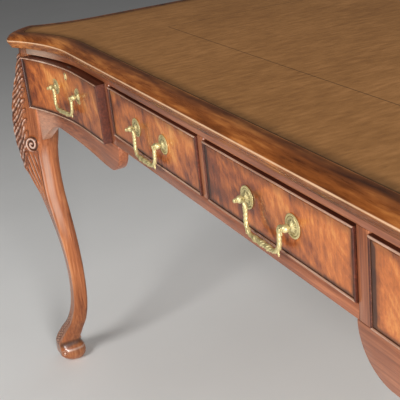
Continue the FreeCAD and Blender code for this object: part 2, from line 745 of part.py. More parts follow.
def make_lock():
    """Escutcheon, lock case and bolt of an end drawer, and what they need cut from the front."""
    front = "lock_face + end_proud + escutcheon_stand"
    through = ("lock_front", front)
    keyway = ("lock_front - overrun", f"{front} + overrun")
    blank = oval("escutcheon_blank", "escutcheon_width", "escutcheon_height", through)
    key_top = "keyhole_height + keyhole_radius"
    key_round = turned("key_round", "y", ("end_middle", key_top), ("keyhole_radius",), keyway)
    key_slot = box("key_slot", ("end_middle - keyhole_slot / 2", "end_middle + keyhole_slot / 2"), keyway,
                   ("keyhole_height - escutcheon_height / 2 + escutcheon_width / 2", key_top))
    escutcheon = cut("escutcheon", blank, [key_round, key_slot])
    x = ("end_middle - lock_case_width / 2", "end_middle + lock_case_width / 2")
    case_z = ("lock_top - lock_case_height", "lock_top")
    shell = box("lock_shell", x, ("lock_back", "lock_front"), case_z)
    half_way = "bolt_width / 2 + bolt_clearance"
    way = box("bolt_way", (f"end_middle - ({half_way})", f"end_middle + {half_way}"),
              ("bolt_middle - bolt_thickness / 2 - bolt_clearance",
               "bolt_middle + bolt_thickness / 2 + bolt_clearance"),
              ("lock_top - bolt_height - bolt_clearance", "lock_top + overrun"))
    case = cut("lock_case", shell, [way])
    quarter_nodes(group("lock", [escutcheon, case]), "drawer_lock", True)
    bolt = box("lock_bolt", ("end_middle - bolt_width / 2", "end_middle + bolt_width / 2"),
               ("bolt_middle - bolt_thickness / 2", "bolt_middle + bolt_thickness / 2"),
               ("lock_top - bolt_height", "lock_top"))
    quarter_nodes(bolt, "lock_bolt", True)
    hole = oval("escutcheon_hole", "escutcheon_width + 2 * escutcheon_gap",
                "escutcheon_height + 2 * escutcheon_gap", ("lock_back", f"{front} + overrun"))
    bed = box("lock_bed", (f"{x[0]} - lock_gap", f"{x[1]} + lock_gap"), ("lock_back - 2 * overrun", "lock_front"),
              (f"{case_z[0]} - lock_gap", f"{case_z[1]} + overrun"))
    return hole, bed


def make_end_drawer():
    x = ("end_inner + drawer_gap", "leg_inner - drawer_gap")
    z = ("kneehole_height + drawer_gap", "rail_underside - head_gap")
    back = "end_proud - drawer_front_thickness"
    pull = end_pull_place()
    deep = ("frame_back - frame_thickness", "face + hollow_depth + end_proud + frame_thickness")
    ring = bead_ring("end_bead_ring", x, deep, z)
    bead_band = hollow_band(x[0], x[1], "end_proud + bead_stand", "end_proud - bead_depth")
    bead_plan = profile("end_bead_plan", "XY", bead_band, z)
    bead_frame = common("end_bead_frame", bead_plan, ring)
    keyhole, bed = make_lock()
    bead = cut("end_bead", bead_frame, [bed])
    blank = profile("end_blank", "XY", hollow_band(x[0], x[1], "end_proud", back), z)
    board = cut("end_board_front", blank, [bead_frame, stem_holes("end", *pull), keyhole, bed])
    quarter_nodes(group("end_face", [board, bead]), "end_drawer_face", True)
    side_z = ("kneehole_height + box_rest_gap", "rail_underside - box_drop")
    low_x = "end_inner + box_side_gap"
    high_x = "leg_inner - box_side_gap"
    inside = (f"{low_x} + box_side_thickness", f"{high_x} - box_side_thickness")
    end = "box_end"
    plan = [
        (low_x, end),
        (high_x, end),
        (high_x, hollow_y(high_x, back), f"hollow_radius - ({back})", -1),
        ("hollow_bend", f"face + {back}"),
        (low_x, f"face + {back}"),
    ]
    footprint = profile("end_box_plan", "XY", plan, side_z)
    whole = (end, deep[1])
    bottom = "kneehole_height + box_bottom_lift"
    inner_slice = box("end_inner_slice", (low_x, inside[0]), whole, side_z)
    outer_slice = box("end_outer_slice", (inside[1], high_x), whole, side_z)
    bottom_slice = box("end_bottom_slice", inside, (f"{end} + box_back_thickness", deep[1]),
                       (bottom, f"{bottom} + box_bottom_thickness"))
    inner_side = common("end_inner_side", footprint, inner_slice)
    outer_side = common("end_outer_side", footprint, outer_slice)
    bottom_board = common("end_bottom", footprint, bottom_slice)
    back_board = box("end_back", inside, (end, f"{end} + box_back_thickness"), side_z)
    quarter_nodes(group("end_box", [inner_side, outer_side, back_board, bottom_board]), "end_drawer_box", True)
    plates, bail = make_pull("end", *pull)
    quarter_nodes(plates, "end_pull_plates", True)
    quarter_nodes(bail, "end_pull_bail", True)


def check_and_write():
    """Stop on any object that failed, then write one file for each sub-part."""
    for item in doc.Objects:
        if "Invalid" in item.State or "Error" in item.State:
            raise RuntimeError(f"{item.Name} failed: {item.State}")
    for item in nodes:
        if item.Shape.isNull() or not item.Shape.isValid() or not item.Shape.Solids:
            raise RuntimeError(f"{item.Label} has no valid solid")
    os.makedirs("parts", exist_ok=True)
    for item in nodes:
        item.Shape.exportStep(f"parts/{item.Label}.step")
    print(len(nodes), "sub-parts written")


fill_sheets()
make_top()
make_legs()
make_frame()
make_aprons()
make_ends()
make_inside()
make_centre_drawer()
make_end_drawer()
doc.recompute()
check_and_write()
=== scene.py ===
import json
import math
from contextlib import contextmanager

import bmesh
import bpy
from mathutils import Matrix, Vector, noise

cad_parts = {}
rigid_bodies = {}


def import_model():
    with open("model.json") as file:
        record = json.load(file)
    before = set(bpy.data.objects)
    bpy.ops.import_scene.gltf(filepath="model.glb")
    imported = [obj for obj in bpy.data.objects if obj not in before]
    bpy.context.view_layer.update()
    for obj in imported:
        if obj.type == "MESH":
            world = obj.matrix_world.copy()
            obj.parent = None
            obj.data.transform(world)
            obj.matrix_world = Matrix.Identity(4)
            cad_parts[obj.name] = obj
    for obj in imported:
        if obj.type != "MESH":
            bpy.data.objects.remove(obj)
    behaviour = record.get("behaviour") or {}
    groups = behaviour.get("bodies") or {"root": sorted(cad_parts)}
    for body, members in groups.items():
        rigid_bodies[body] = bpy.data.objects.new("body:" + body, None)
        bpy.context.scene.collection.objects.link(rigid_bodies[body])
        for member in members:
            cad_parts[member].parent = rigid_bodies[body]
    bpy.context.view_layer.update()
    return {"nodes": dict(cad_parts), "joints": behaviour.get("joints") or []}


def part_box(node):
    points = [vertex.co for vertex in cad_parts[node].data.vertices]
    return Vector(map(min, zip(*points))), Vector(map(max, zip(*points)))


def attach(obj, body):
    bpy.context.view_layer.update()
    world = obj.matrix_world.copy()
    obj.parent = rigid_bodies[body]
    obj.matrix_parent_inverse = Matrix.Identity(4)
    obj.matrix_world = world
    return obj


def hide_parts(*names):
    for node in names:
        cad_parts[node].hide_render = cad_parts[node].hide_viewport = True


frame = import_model()

# Places and sizes of the desk, in metres
FACE = 0.430
LEG_INNER = 0.697
HOLLOW_BEND = 0.470
HOLLOW_RADIUS = 0.6489146
FRONT_THICKNESS = 0.022
BEAD_WIDTH = 0.0028
BEAD_STAND = 0.0012
BEAD_ROUND = 0.0011
PROUD = {"centre": 0.002, "end": 0.0015}
AJAR = {"front_left_end": 0.013}
WELD = 0.00001
BOLT_PLAY = Vector((0.0006, 0.0006, 0.0006))
BOARD_EASING = 0.0009
# Half sizes of the dark line on the field
FIELD_LINE = (0.482, 0.253)

QUARTERS = [("front_left", -1, -1), ("front_right", 1, -1), ("back_left", -1, 1), ("back_right", 1, 1)]
KINDS = ("centre", "end")


# Shader maths

def tint(red, green, blue):
    """A colour as a screen shows it, 0 to 255, for a shader's socket."""
    def linear(level):
        level /= 255
        return level / 12.92 if level <= 0.04045 else ((level + 0.055) / 1.055) ** 2.4
    return (linear(red), linear(green), linear(blue), 1.0)


class Wire:
    """An output in a material's nodes. Sums with wires add Math nodes."""

    def __init__(self, tree, socket=None):
        self.tree = tree
        self.socket = socket

    def node(self, kind, settings=None, links=None, out=0):
        """Add a node: its type, its settings, and the values or wires of its sockets."""
        made = self.tree.nodes.new("ShaderNode" + kind)
        for name, value in (settings or {}).items():
            if name == "stops":
                ramp = made.color_ramp
                while len(ramp.elements) < len(value):
                    ramp.elements.new(1.0)
                for element, (position, colour) in zip(ramp.elements, value):
                    element.position = position
                    element.color = colour
            else:
                setattr(made, name, value)
        for key, value in (links or {}).items():
            if isinstance(value, Wire):
                self.tree.links.new(value.socket, made.inputs[key])
            else:
                made.inputs[key].default_value = value
        return Wire(self.tree, made.outputs[out]) if made.outputs else None

    def math(self, operation, *values):
        return self.node("Math", {"operation": operation}, dict(enumerate(values)))

    def __add__(self, other):
        return self.math("ADD", self, other)

    def __sub__(self, other):
        return self.math("SUBTRACT", self, other)

    def __mul__(self, other):
        return self.math("MULTIPLY", self, other)

    __radd__ = __add__
    __rmul__ = __mul__

    def size(self):
        return self.math("ABSOLUTE", self)

    def rise(self, low, high):
        """0 below one level of the wire, 1 above another, and smooth between."""
        return self.node("MapRange", {"interpolation_type": "SMOOTHSTEP"},
                         {"Value": self, "From Min": low, "From Max": high})

    def mixed(self, first, second):
        """One colour where the wire is 0, another where it is 1."""
        return self.node("Mix", {"data_type": "RGBA"}, {0: self, 6: first, 7: second}, 2)

    def noise(self, scale, detail=3.0, roughness=0.55, distortion=0.0, lean=0.0):
        """Noise over places that are leaned over and stretched by a scale along each axis."""
        leaned = self.node("Mapping", None, {"Vector": self, "Rotation": (0.0, lean, 0.0)}) if lean else self
        stretched = self.node("Mapping", None, {"Vector": leaned, "Scale": scale})
        return self.node("TexNoise", None, {"Vector": stretched, "Scale": 1.0, "Detail": detail,
                                            "Roughness": roughness, "Distortion": distortion})


def new_finish(name):
    """An empty material, and a wire that holds places on the object."""
    material = bpy.data.materials.new(name)
    material.use_nodes = True
    material.node_tree.nodes.clear()
    place = Wire(material.node_tree).node("TexCoord", out="Object")
    return material, place


def surface(place, bump, **values):
    """Close a material with a polished surface."""
    rough = place.node("Bump", None, {"Height": bump[0], "Distance": bump[1]})
    links = {name.replace("_", " "): value for name, value in values.items()}
    polish = place.node("BsdfPrincipled", None, {**links, "Normal": rough})
    place.node("OutputMaterial", None, {"Surface": polish})


def axes_of(grain, along, across):
    """Scale along each axis for streaks that follow the grain."""
    return tuple(along if axis == grain else across for axis in "XYZ")


def wood(name, grain, stops, gloss=0.30, streak=260.0, length=9.0, broad=0.37, figure=None, inlay=None, glaze=None,
         wear=None, patchy=0.3, polish=0.3, shine=0.35):
    """Polished wood: colours from dark to light, streaks along its grain, a painted highlight and painted shade from
    levels on its points.
    """
    material, place = new_finish(name)
    fine = place.noise(axes_of(grain, length, streak), 5.0, 0.62)
    bands = place.noise(axes_of(grain, 3.0, 22.0), 3.0, 0.5, 0.6)
    cloud = place.noise((7.0, 7.0, 7.0), 2.0)
    tone = fine * (0.85 - broad) + bands * broad + cloud * 0.25 - 0.05
    if figure:
        flame = place.noise((22.0, 22.0, 8.0), 6.0, 0.66, 1.2, lean=figure)
        glow = place.noise((7.5, 7.5, 9.0), 2.0, 0.5, 0.8)
        speck = place.noise((150.0, 150.0, 90.0), 4.0, 0.7)
        tone = fine * 0.10 + speck * 0.16 + flame * 0.32 + glow * 0.42
    low, high = (0.37, 0.63) if figure else (0.32, 0.68)
    places = [low + (high - low) * index / (len(stops) - 1) for index in range(len(stops))]
    colour = tone.node("ValToRGB", {"stops": list(zip(places, stops))}, {"Fac": tone})
    pores = place.noise(axes_of(grain, 45.0, 900.0), 2.0, 0.7).rise(0.60, 0.72)
    colour = (pores * 0.3).mixed(colour, tint(44, 22, 12))
    sheen = gloss + fine * 0.16 - 0.06
    if inlay:
        axes = [place.node("SeparateXYZ", None, {"Vector": place}, axis).size() - half
                for axis, half in zip("XY", inlay)]
        edge = place.math("MAXIMUM", *axes).size()
        colour = (edge.rise(0.0013, 0.0004) * 0.7).mixed(colour, tint(50, 34, 20))
    # Painted highlight: a pale colour where a point's wear level is high, broken into patches
    if wear:
        painted_highlight_level = place.node("Attribute", {"attribute_name": "wear"}, out="Fac")
        patch = place.noise((9.0, 9.0, 9.0), 3.0, 0.6)
        painted_highlight_mask = (painted_highlight_level * (1 - patchy + patch * (2 * patchy))).rise(0.12, 0.9)
        colour = (painted_highlight_mask * 0.8).mixed(colour, wear)
        sheen = sheen - painted_highlight_mask * 0.08
    # Painted shade: a dark colour where a point's glaze level is high; on the top it also darkens bands towards the
    # field
    if glaze:
        painted_shade_level = place.node("Attribute", {"attribute_name": "glaze"}, out="Fac")
        shade_noise = place.noise((60.0, 60.0, 60.0), 3.0)
        painted_shade_mask = (painted_shade_level * (0.72 + shade_noise * 0.5)).rise(0.08, 0.95)
        colour = (painted_shade_mask * 0.88).mixed(colour, glaze)
        sheen = sheen + painted_shade_mask * 0.16
    surface(place, (fine * 0.6 + pores * -0.8, 0.00006), Base_Color=colour, Roughness=sheen,
            Coat_Weight=polish, Coat_Roughness=0.10, Specular_IOR_Level=shine)
    return material


# Colour of painted shade
PAINTED_SHADE_TINT = tint(30, 15, 11)
RED_BROWN = (tint(84, 40, 22), tint(148, 84, 52), tint(194, 124, 84))
LINING = (tint(118, 84, 50), tint(150, 112, 70), tint(176, 138, 92))
FLAMED = (tint(62, 24, 10), tint(130, 62, 26), tint(196, 110, 50), tint(232, 160, 86))

# Rails and aprons: their pale colour is a painted reflection towards the ends of the top rails and aprons
ALONG_RAIL = wood("mahogany_rail", "X", RED_BROWN, glaze=PAINTED_SHADE_TINT, wear=tint(222, 190, 166))
UPRIGHT = wood("mahogany_upright", "Z", RED_BROWN, glaze=PAINTED_SHADE_TINT)
# Leg: painted shade and painted highlight from levels on its points
LEG_WOOD = wood("mahogany_leg", "Z", (tint(118, 57, 28), tint(172, 101, 58), tint(212, 145, 97)),
                gloss=0.24, glaze=PAINTED_SHADE_TINT, wear=tint(226, 196, 178), patchy=0.45)
# Moulding: a painted highlight along the arris, painted shade under the top and in its quirk, and darker towards the
# field
MOULDING = wood("mahogany_moulding", "X", (tint(58, 24, 9), tint(134, 74, 32), tint(204, 130, 66)),
                gloss=0.26, streak=120.0, length=14.0, glaze=tint(46, 27, 15), wear=tint(232, 190, 152),
                patchy=0.8, polish=0.0, shine=0.15)
# Pale bead wood, put on the top and bottom beads only, as a painted highlight
BEAD_WOOD = wood("mahogany_bead", "X", (tint(120, 80, 60), tint(176, 134, 110), tint(226, 198, 178)),
                 gloss=0.18)
# Dark wood of the fronts' edges; on their top edges and upright beads this darkness is painted shade
EDGE_WOOD = wood("front_edge", "X", (tint(36, 14, 8), tint(76, 33, 19), tint(112, 54, 32)),
                 gloss=0.40, polish=0.1)
# Drawer fronts: painted shade beside the bead
FLAME = wood("flame_veneer", "Z", FLAMED, gloss=0.28, figure=0.6, glaze=PAINTED_SHADE_TINT)
# Field: painted shade in the groove at its edge, and darker towards its edge
TOP_VENEER = wood("top_veneer", "Y", (tint(131, 88, 47), tint(150, 104, 58), tint(169, 119, 71)),
                  gloss=0.44, streak=150.0, length=36.0, broad=0.14, inlay=FIELD_LINE, glaze=tint(52, 34, 17),
                  polish=0.0, shine=0.15)
LINING_WOOD = wood("drawer_lining", "Y", LINING, gloss=0.55)


def brass_finish():
    """Cast brass, pale and greenish, with dark tarnish in its hollows."""
    material, place = new_finish("antique_brass")
    cloud = place.noise((140.0, 140.0, 140.0), 4.0, 0.6)
    hollow = place.node("NewGeometry", out="Pointiness").rise(0.495, 0.43)
    bright = cloud.mixed(tint(178, 160, 104), tint(226, 212, 160))
    colour = (hollow * 0.88).mixed(bright, tint(58, 46, 22))
    surface(place, (cloud, 0.00012), Base_Color=colour, Roughness=0.32 + cloud * 0.16 + hollow * 0.2, Metallic=0.55)
    return material


def steel_finish():
    material, place = new_finish("filed_steel")
    marks = place.noise((30.0, 500.0, 500.0), 3.0)
    colour = marks.mixed(tint(112, 112, 114), tint(170, 170, 172))
    surface(place, (marks, 0.00005), Base_Color=colour, Roughness=0.32 + marks * 0.2, Metallic=1.0)
    return material


BRASS = brass_finish()
STEEL = steel_finish()


# Bench tools

def lone(name, mesh):
    """A new object of a mesh, the only one selected."""
    piece = bpy.data.objects.new(name, mesh)
    bpy.context.scene.collection.objects.link(piece)
    select_only(piece)
    return piece


def select_only(piece):
    bpy.ops.object.select_all(action="DESELECT")
    piece.select_set(True)
    bpy.context.view_layer.objects.active = piece


@contextmanager
def bench(piece):
    """Edit mode on one piece, with nothing of it selected."""
    select_only(piece)
    bpy.ops.object.mode_set(mode="EDIT")
    bpy.ops.mesh.select_all(action="DESELECT")
    yield
    bpy.ops.object.mode_set(mode="OBJECT")


def choose(piece, what, test):
    """Select the points, edges or faces of a piece that pass a test."""
    bpy.ops.mesh.select_mode(type=what)
    bpy.ops.mesh.select_all(action="DESELECT")
    shape = bmesh.from_edit_mesh(piece.data)
    shape.normal_update()
    for part in {"VERT": shape.verts, "EDGE": shape.edges, "FACE": shape.faces}[what]:
        if test(part):
            part.select_set(True)
    shape.select_flush_mode()
    bmesh.update_edit_mesh(piece.data)


def apply_modifier(piece, kind, **settings):
    select_only(piece)
    modifier = piece.modifiers.new(kind.lower(), kind)
    for name, value in settings.items():
        setattr(modifier, name, value)
    bpy.ops.object.modifier_apply(modifier=modifier.name)


def smooth(piece, angle=30):
    select_only(piece)
    bpy.ops.object.shade_smooth_by_angle(angle=math.radians(angle))


def coat(piece, *finishes):
    piece.data.materials.clear()
    for finish in finishes:
        piece.data.materials.append(finish)


def settle(piece, body, slot, *nodes):
    """Give a finished piece its body, and hide the CAD nodes that it stands for. Its slot is not used."""
    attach(piece, body)
    if nodes:
        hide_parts(*nodes)


def block(name, low, high):
    """A plain block between two corners, to be shaped further."""
    bpy.ops.object.select_all(action="DESELECT")
    bpy.ops.mesh.primitive_cube_add(size=1, location=(low + high) / 2, scale=high - low)
    bpy.ops.object.transform_apply()
    piece = bpy.context.object
    piece.name = name
    return piece


def copied(name, piece, matrix):
    """A copy with its own mesh, moved or mirrored, with its faces still outwards."""
    mesh = piece.data.copy()
    mesh.transform(matrix)
    if matrix.determinant() < 0:
        mesh.flip_normals()
    return lone(name, mesh)


def cut_across(piece, way, low, high, count):
    """Cut a piece into equal lengths along an axis, so that it can be bowed."""
    with bench(piece):
        for step in range(1, count):
            bpy.ops.mesh.select_all(action="SELECT")
            bpy.ops.mesh.bisect(plane_co=Vector(way) * (low + (high - low) * step / count), plane_no=way)


def quarter_copies(piece, kind):
    """Copies of a piece from the right back quarter, as pairs of quarter and copy."""
    made = []
    for quarter, x, y in QUARTERS:
        made.append((quarter, copied(f"{quarter}_{kind}", piece, Matrix.Diagonal((x, y, 1, 1)))))
    bpy.data.objects.remove(piece)
    return made


def cad_copy(name, node):
    """A copy of a CAD node's mesh, merged and freed of its triangles."""
    piece = lone(name, frame["nodes"][node].data.copy())
    bpy.ops.mesh.customdata_custom_splitnormals_clear()
    with bench(piece):
        bpy.ops.mesh.select_all(action="SELECT")
        bpy.ops.mesh.remove_doubles(threshold=WELD)
        bpy.ops.mesh.dissolve_limited(angle_limit=math.radians(0.2))
    return piece


def turn(name, profile, sides):
    """A turned piece along Y, from pairs of radius and place in millimetres."""
    radius, place = profile[0]
    bpy.ops.object.select_all(action="DESELECT")
    bpy.ops.mesh.primitive_circle_add(vertices=sides, radius=radius / 1000, fill_type="NGON",
                                      location=(0, 0, place / 1000))
    bpy.ops.object.transform_apply()
    piece = bpy.context.object
    piece.name = name
    with bench(piece):
        bpy.ops.mesh.select_all(action="SELECT")
        for next_radius, next_place in profile[1:]:
            rise = (0, 0, (next_place - place) / 1000)
            bpy.ops.mesh.extrude_region_move(TRANSFORM_OT_translate={"value": rise})
            share = next_radius / radius
            bpy.ops.transform.resize(value=(share, share, 1), center_override=(0, 0, 0))
            radius, place = next_radius, next_place
        bpy.ops.mesh.select_all(action="SELECT")
        bpy.ops.mesh.normals_make_consistent(inside=False)
    piece.data.transform(Matrix.Rotation(math.radians(-90), 4, "X"))
    return piece


def drawn_up(name, rings):
    """A solid drawn up ring by ring and closed at both ends, and the ring and step of each of its points."""
    count = len(rings[0])
    bpy.ops.object.select_all(action="DESELECT")
    bpy.ops.mesh.primitive_circle_add(vertices=count, radius=1, fill_type="NGON")
    piece = bpy.context.object
    piece.name = name
    with bench(piece):
        bpy.ops.mesh.select_all(action="SELECT")
        for ring in rings[1:]:
            bpy.ops.mesh.extrude_region_move(TRANSFORM_OT_translate={"value": (0, 0, 1)})
    order = [(round(point.co.z), round(count * math.atan2(point.co.x, point.co.y) / (2 * math.pi)) % count)
             for point in piece.data.vertices]
    for point, (ring, step) in zip(piece.data.vertices, order):
        point.co = rings[ring][step]
    with bench(piece):
        bpy.ops.mesh.select_all(action="SELECT")
        bpy.ops.mesh.normals_make_consistent(inside=False)
    return piece, order


def set_levels(piece, name, levels):
    """Give each point of a piece a level, such as how much painted shade or painted highlight it has."""
    layer = piece.data.attributes.new(name, "FLOAT", "POINT")
    for cell, level in zip(layer.data, levels):
        cell.value = level


def fade(value, low, high):
    """0 at one value, 1 at another, and smooth between."""
    share = min(max((value - low) / (high - low), 0.0), 1.0)
    return share * share * (3 - 2 * share)


def between(rows, value):
    """Level at a value, on straight lines between rows of value and level."""
    if value <= rows[0][0]:
        return rows[0][1]
    for (low, start), (high, stop) in zip(rows, rows[1:]):
        if value <= high:
            return start + (stop - start) * (value - low) / (high - low)
    return rows[-1][1]


def hollow(x, offset):
    """Place of the hollow long side, offset outwards, at a distance x from the middle."""
    past = max(x - HOLLOW_BEND, 0)
    return FACE + HOLLOW_RADIUS - math.sqrt((HOLLOW_RADIUS - offset) ** 2 - past ** 2)


# Boards of the frame

# How strong the painted reflection on the ends of a board is, and the places along X where it starts and is full
RAIL_REFLECTION = (0.75, 0.50, 0.66)
APRON_REFLECTION = (0.45, 0.58, 0.66)
# How far an apron's bracket drops beside the leg, with the places and levels where the drop starts and is full
BRACKET_DROP = 0.012
BRACKET_RUN = (0.640, LEG_INNER)
BRACKET_LEVELS = (0.620, 0.590)


# Painted reflection, paler towards the ends of a board
def paint_end_reflection(piece, most, start, full):
    set_levels(piece, "wear", [most * fade(abs(point.co.x), start, full) for point in piece.data.vertices])


def eased_boards():
    boards = [(f"{side}_{kind}", finish, "mahogany") for side in ("front", "back")
              for kind, finish in (("top_rail", ALONG_RAIL), ("lower_rail", ALONG_RAIL), ("stiles", UPRIGHT))]
    boards += [(f"{quarter}_apron", ALONG_RAIL, "mahogany") for quarter, x, y in QUARTERS]
    boards += [(f"{side}_end_panel", FLAME, "figured_veneer") for side in ("left", "right")]
    for node, finish, slot in boards:
        piece = cad_copy(node + "_board", node)
        apply_modifier(piece, "BEVEL", width=BOARD_EASING, segments=2, limit_method="ANGLE",
                       angle_limit=math.radians(40))
        smooth(piece)
        coat(piece, finish)
        if node.endswith("top_rail"):
            paint_end_reflection(piece, *RAIL_REFLECTION)
        if node.endswith("apron"):
            for point in piece.data.vertices:
                beside = fade(abs(point.co.x), *BRACKET_RUN)
                point.co.z -= BRACKET_DROP * beside * fade(point.co.z, *BRACKET_LEVELS)
            paint_end_reflection(piece, *APRON_REFLECTION)
        settle(piece, "carcass", slot, node)


# Top with its moulded edge

# Sections of the top in millimetres, from its underside: margin inside the outline, level, painted shade and
# darkening (under the top, in the quirk, a darker band towards the field, and the groove by it), painted highlight
# (along the arris and at the step by the field)
TOP_SECTION = [
    (7.5, 746.0, 0.9, 0), (6.6, 746.3, 0.6, 0), (6.3, 747.4, 0.2, 0), (5.6, 749.0, 0, 0), (4.2, 751.2, 0, 0),
    (2.8, 753.2, 0, 0), (1.7, 755.0, 0, 0), (1.2, 756.4, 0.1, 0), (0.5, 756.9, 0, 0.2), (0.05, 758.0, 0, 0.3),
    (0.0, 759.2, 0, 0.25), (0.25, 760.3, 0, 0.95), (0.8, 761.0, 0, 0.9), (1.5, 761.6, 0, 0.1), (2.5, 762.6, 0, 0),
    (3.6, 764.2, 0, 0), (5.2, 765.6, 0, 0), (7.4, 766.7, 0, 0), (9.8, 767.5, 0.05, 0), (12.0, 768.2, 0.12, 0),
    (14.5, 768.9, 0.16, 0), (17.0, 769.4, 0.18, 0), (20.0, 769.7, 0.24, 0), (24.0, 769.8, 0.42, 0),
    (28.0, 769.85, 0.58, 0), (32.0, 769.9, 0.66, 0), (34.6, 769.9, 0.6, 0),
    (35.2, 769.9, 0, 0.35), (35.7, 769.8, 1, 0), (35.7, 768.2, 1, 0),
]
# Section of the field, with the same columns: painted shade in the groove at its edge, and darker towards its edge
FIELD_SECTION = [
    (36.0, 768.4, 1, 0), (36.0, 769.7, 1, 0), (36.3, 770.0, 1, 0), (37.2, 770.0, 1, 0), (38.0, 770.0, 0.6, 0),
    (44.0, 770.0, 0.48, 0), (50.0, 770.0, 0.32, 0), (56.0, 770.0, 0.16, 0), (62.0, 770.0, 0, 0),
]

# Outline of a quarter of the top in millimetres: ends of its straight sides, and circles of its sweeps and nose
END_RUN = (734.0, 320.0)
LONG_RUN = (480.0, 451.5)
END_SWEEP = ((932.0, 320.0), 198.0)
NOSE = ((680.386, 409.163), 97.0)
LONG_SWEEP = ((480.0, 868.07), 416.57)
NOSE_ENDS = ((773.0, 438.0), (686.0, 506.0))
# Cuts across the wide faces: their way, their reach from the middle in metres, and the number of strips
SLAB_CUTS = [((1, 0, 0), 0.70, 27), ((0, 1, 0), 0.42, 15)]
WIDE_AREA = 0.001


def crossing(first, second, near):
    """Point where two circles cross, the nearer one to a place."""
    (ax, ay), a = first
    (bx, by), b = second
    apart = math.hypot(bx - ax, by - ay)
    along = (a * a - b * b + apart * apart) / (2 * apart)
    aside = math.sqrt(max(a * a - along * along, 0))
    ux, uy = (bx - ax) / apart, (by - ay) / apart
    points = [(ax + along * ux - side * aside * uy, ay + along * uy + side * aside * ux) for side in (-1, 1)]
    return min(points, key=lambda point: math.dist(point, near))


def along_arc(circle, start, stop, count):
    """Points from one place on a circle to another, without the last."""
    (x, y), radius = circle
    first = math.atan2(start[1] - y, start[0] - x)
    sweep = math.remainder(math.atan2(stop[1] - y, stop[0] - x) - first, 2 * math.pi)
    turns = [first + sweep * step / count for step in range(count)]
    return [(x + radius * math.cos(turn_), y + radius * math.sin(turn_)) for turn_ in turns]


def top_outline(margin):
    """Points round the top, in metres, at an equal margin inside its edge."""
    end, nose, long = [(centre, radius + side * margin) for (centre, radius), side in
                       ((END_SWEEP, 1), (NOSE, -1), (LONG_SWEEP, 1))]
    corners = [crossing(end, nose, NOSE_ENDS[0]), crossing(nose, long, NOSE_ENDS[1])]
    end_run = (END_RUN[0] - margin, END_RUN[1])
    long_run = (LONG_RUN[0], LONG_RUN[1] - margin)
    quarter = [(end_run[0], end_run[1] * step / 14) for step in range(14)]
    quarter += along_arc(end, end_run, corners[0], 12) + along_arc(nose, *corners, 14)
    quarter += along_arc(long, corners[1], long_run, 18)
    quarter += [(long_run[0] * (1 - step / 20), long_run[1]) for step in range(21)]
    half = quarter + [(-x, y) for x, y in reversed(quarter[1:-1])]
    whole = half + [(-quarter[0][0], 0)] + [(x, -y) for x, y in reversed(half[1:])]
    return [(x / 1000, y / 1000) for x, y in whole]


def make_slab(name, section):
    """A slab with the top's outline, drawn up through a section, with its wide faces cut into squares."""
    rings = [[(x, y, level / 1000) for x, y in top_outline(margin)] for margin, level, glaze, wear in section]
    slab, order = drawn_up(name, rings)
    # Levels of painted shade and darkening, and of the painted highlight, from each point's ring
    for column, layer in ((2, "glaze"), (3, "wear")):
        set_levels(slab, layer, [section[ring][column] for ring, step in order])
    with bench(slab):
        for way, reach, count in SLAB_CUTS:
            for step in range(1, count):
                choose(slab, "FACE", lambda face: abs(face.normal.z) > 0.99 and face.calc_area() > WIDE_AREA)
                bpy.ops.mesh.bisect(plane_co=Vector(way) * reach * (2 * step / count - 1), plane_no=way)
    smooth(slab, 35)
    return slab


def make_top():
    top = make_slab("moulded_top", TOP_SECTION)
    coat(top, MOULDING)
    settle(top, "carcass", "mahogany", "top_board")
    field = make_slab("top_field", FIELD_SECTION)
    coat(field, TOP_VENEER)
    settle(field, "carcass", "top_veneer", "veneer_field")


# Drawer fronts

# Steps from a front's edge, inwards and out, in millimetres: bead, groove, and rings to shade
FRONT_STEPS = [(BEAD_WIDTH * 1000, 0.0), (0.3, -1.1), (0.9, 0.0), (0.4, 0.9), (4.6, 0.0), (1.4, 0.0), (7.0, 0.0),
               (8.0, 0.0)]
# Cuts of a front along X and along Z
FRONT_CUTS = (28, 4)
# Painted shade beside the bead: side of the front, strength, and the distances between which it fades
BEAD_SHADE_BANDS = [
    ("near", 1.0, 0.0095, 0.0130), ("near", 0.5, 0.010, 0.026), ("far", 0.9, 0.0040, 0.0055),
    ("far", 0.4, 0.005, 0.016), ("top", 0.55, 0.004, 0.022), ("bottom", 0.9, 0.0045, 0.0065),
    ("bottom", 0.4, 0.006, 0.016),
]
# Rim of the keyhole's plate, its slope, and the depth of the plate inside it
RIM_WIDTH = 0.0005
RIM_SLOPE = 0.0002
PLATE_DEPTH = 0.0006


def step_in(steps):
    """Take the selected face inwards and out along its normal, step by step, in millimetres."""
    for inwards, out in steps:
        bpy.ops.mesh.inset(thickness=inwards / 1000, depth=out / 1000)


